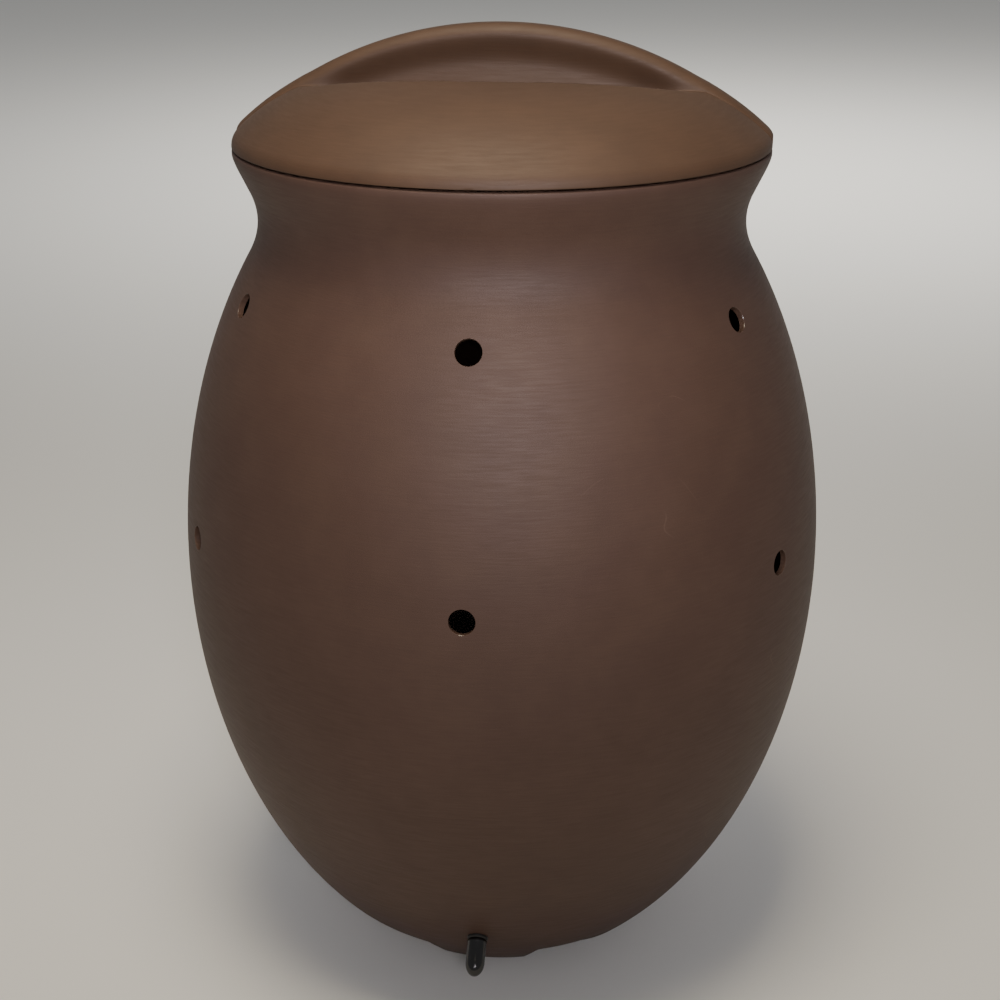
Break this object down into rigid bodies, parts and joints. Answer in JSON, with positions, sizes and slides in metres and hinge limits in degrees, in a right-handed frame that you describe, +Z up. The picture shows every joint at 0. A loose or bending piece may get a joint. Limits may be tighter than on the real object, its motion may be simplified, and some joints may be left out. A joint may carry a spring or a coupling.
{
  "type": "compost tumbler",
  "caption": "Egg-shaped moulded compost tumbler with a flared neck, air vents, pressed feet, a screw lid with a ridge grip and a capped drain stub.",
  "frame": {"origin": "centre of the foot circle on the ground, under the middle of the vessel", "axes": "+Z up along the vessel's axis, -Y towards the front with the drain, +X to the right seen from the front"},
  "size_m": [0.5996, 0.5996, 0.885],
  "materials": {
    "moulded_brown": "fine vertical and horizontal grain, low sheen",
    "ring_plastic": "smooth moulded",
    "rubber": "dull",
    "black_plastic": "satin",
    "cap_vinyl": "glossy dipped vinyl",
    "stainless": "turned"
  },
  "bodies": {
    "vessel": {"body_shell": "moulded_brown", "mouth_ring": "ring_plastic", "mouth_screw_1": "stainless", "mouth_screw_2": "stainless", "mouth_screw_3": "stainless", "mouth_screw_4": "stainless", "mouth_screw_5": "stainless", "mouth_screw_6": "stainless", "mouth_nut_1": "stainless", "mouth_nut_2": "stainless", "mouth_nut_3": "stainless", "mouth_nut_4": "stainless", "mouth_nut_5": "stainless", "mouth_nut_6": "stainless", "drain_nipple": "black_plastic", "drain_gasket": "rubber", "drain_locknut": "black_plastic", "drain_strainer": "black_plastic"},
    "seal": {"lid_seal": "rubber"},
    "lid": {"lid_cover": "moulded_brown", "lid_ring": "ring_plastic", "lid_screw_1": "stainless", "lid_screw_2": "stainless", "lid_screw_3": "stainless", "lid_screw_4": "stainless", "lid_screw_5": "stainless", "lid_screw_6": "stainless", "lid_nut_1": "stainless", "lid_nut_2": "stainless", "lid_nut_3": "stainless", "lid_nut_4": "stainless", "lid_nut_5": "stainless", "lid_nut_6": "stainless"},
    "cap": {"drain_cap": "cap_vinyl"}
  },
  "joints": [
    {"name": "lid_rise", "type": "slide", "parent": "vessel", "child": "seal", "axis": [0, 0, 1], "range_m": [0, 0.12]},
    {"name": "lid_turn", "type": "hinge", "parent": "seal", "child": "lid", "pos_m": [0, 0, 0.7825], "axis": [0, 0, 1], "range_deg": [0, 360]},
    {"name": "drain_cap_pull", "type": "slide", "parent": "vessel", "child": "cap", "axis": [0, -0.8177, -0.5756], "range_m": [0, 0.045]}
  ],
  "couplings": [
    {"joint": "lid_rise", "follows": "lid_turn", "m_per_rad": 0.019099}
  ]
}
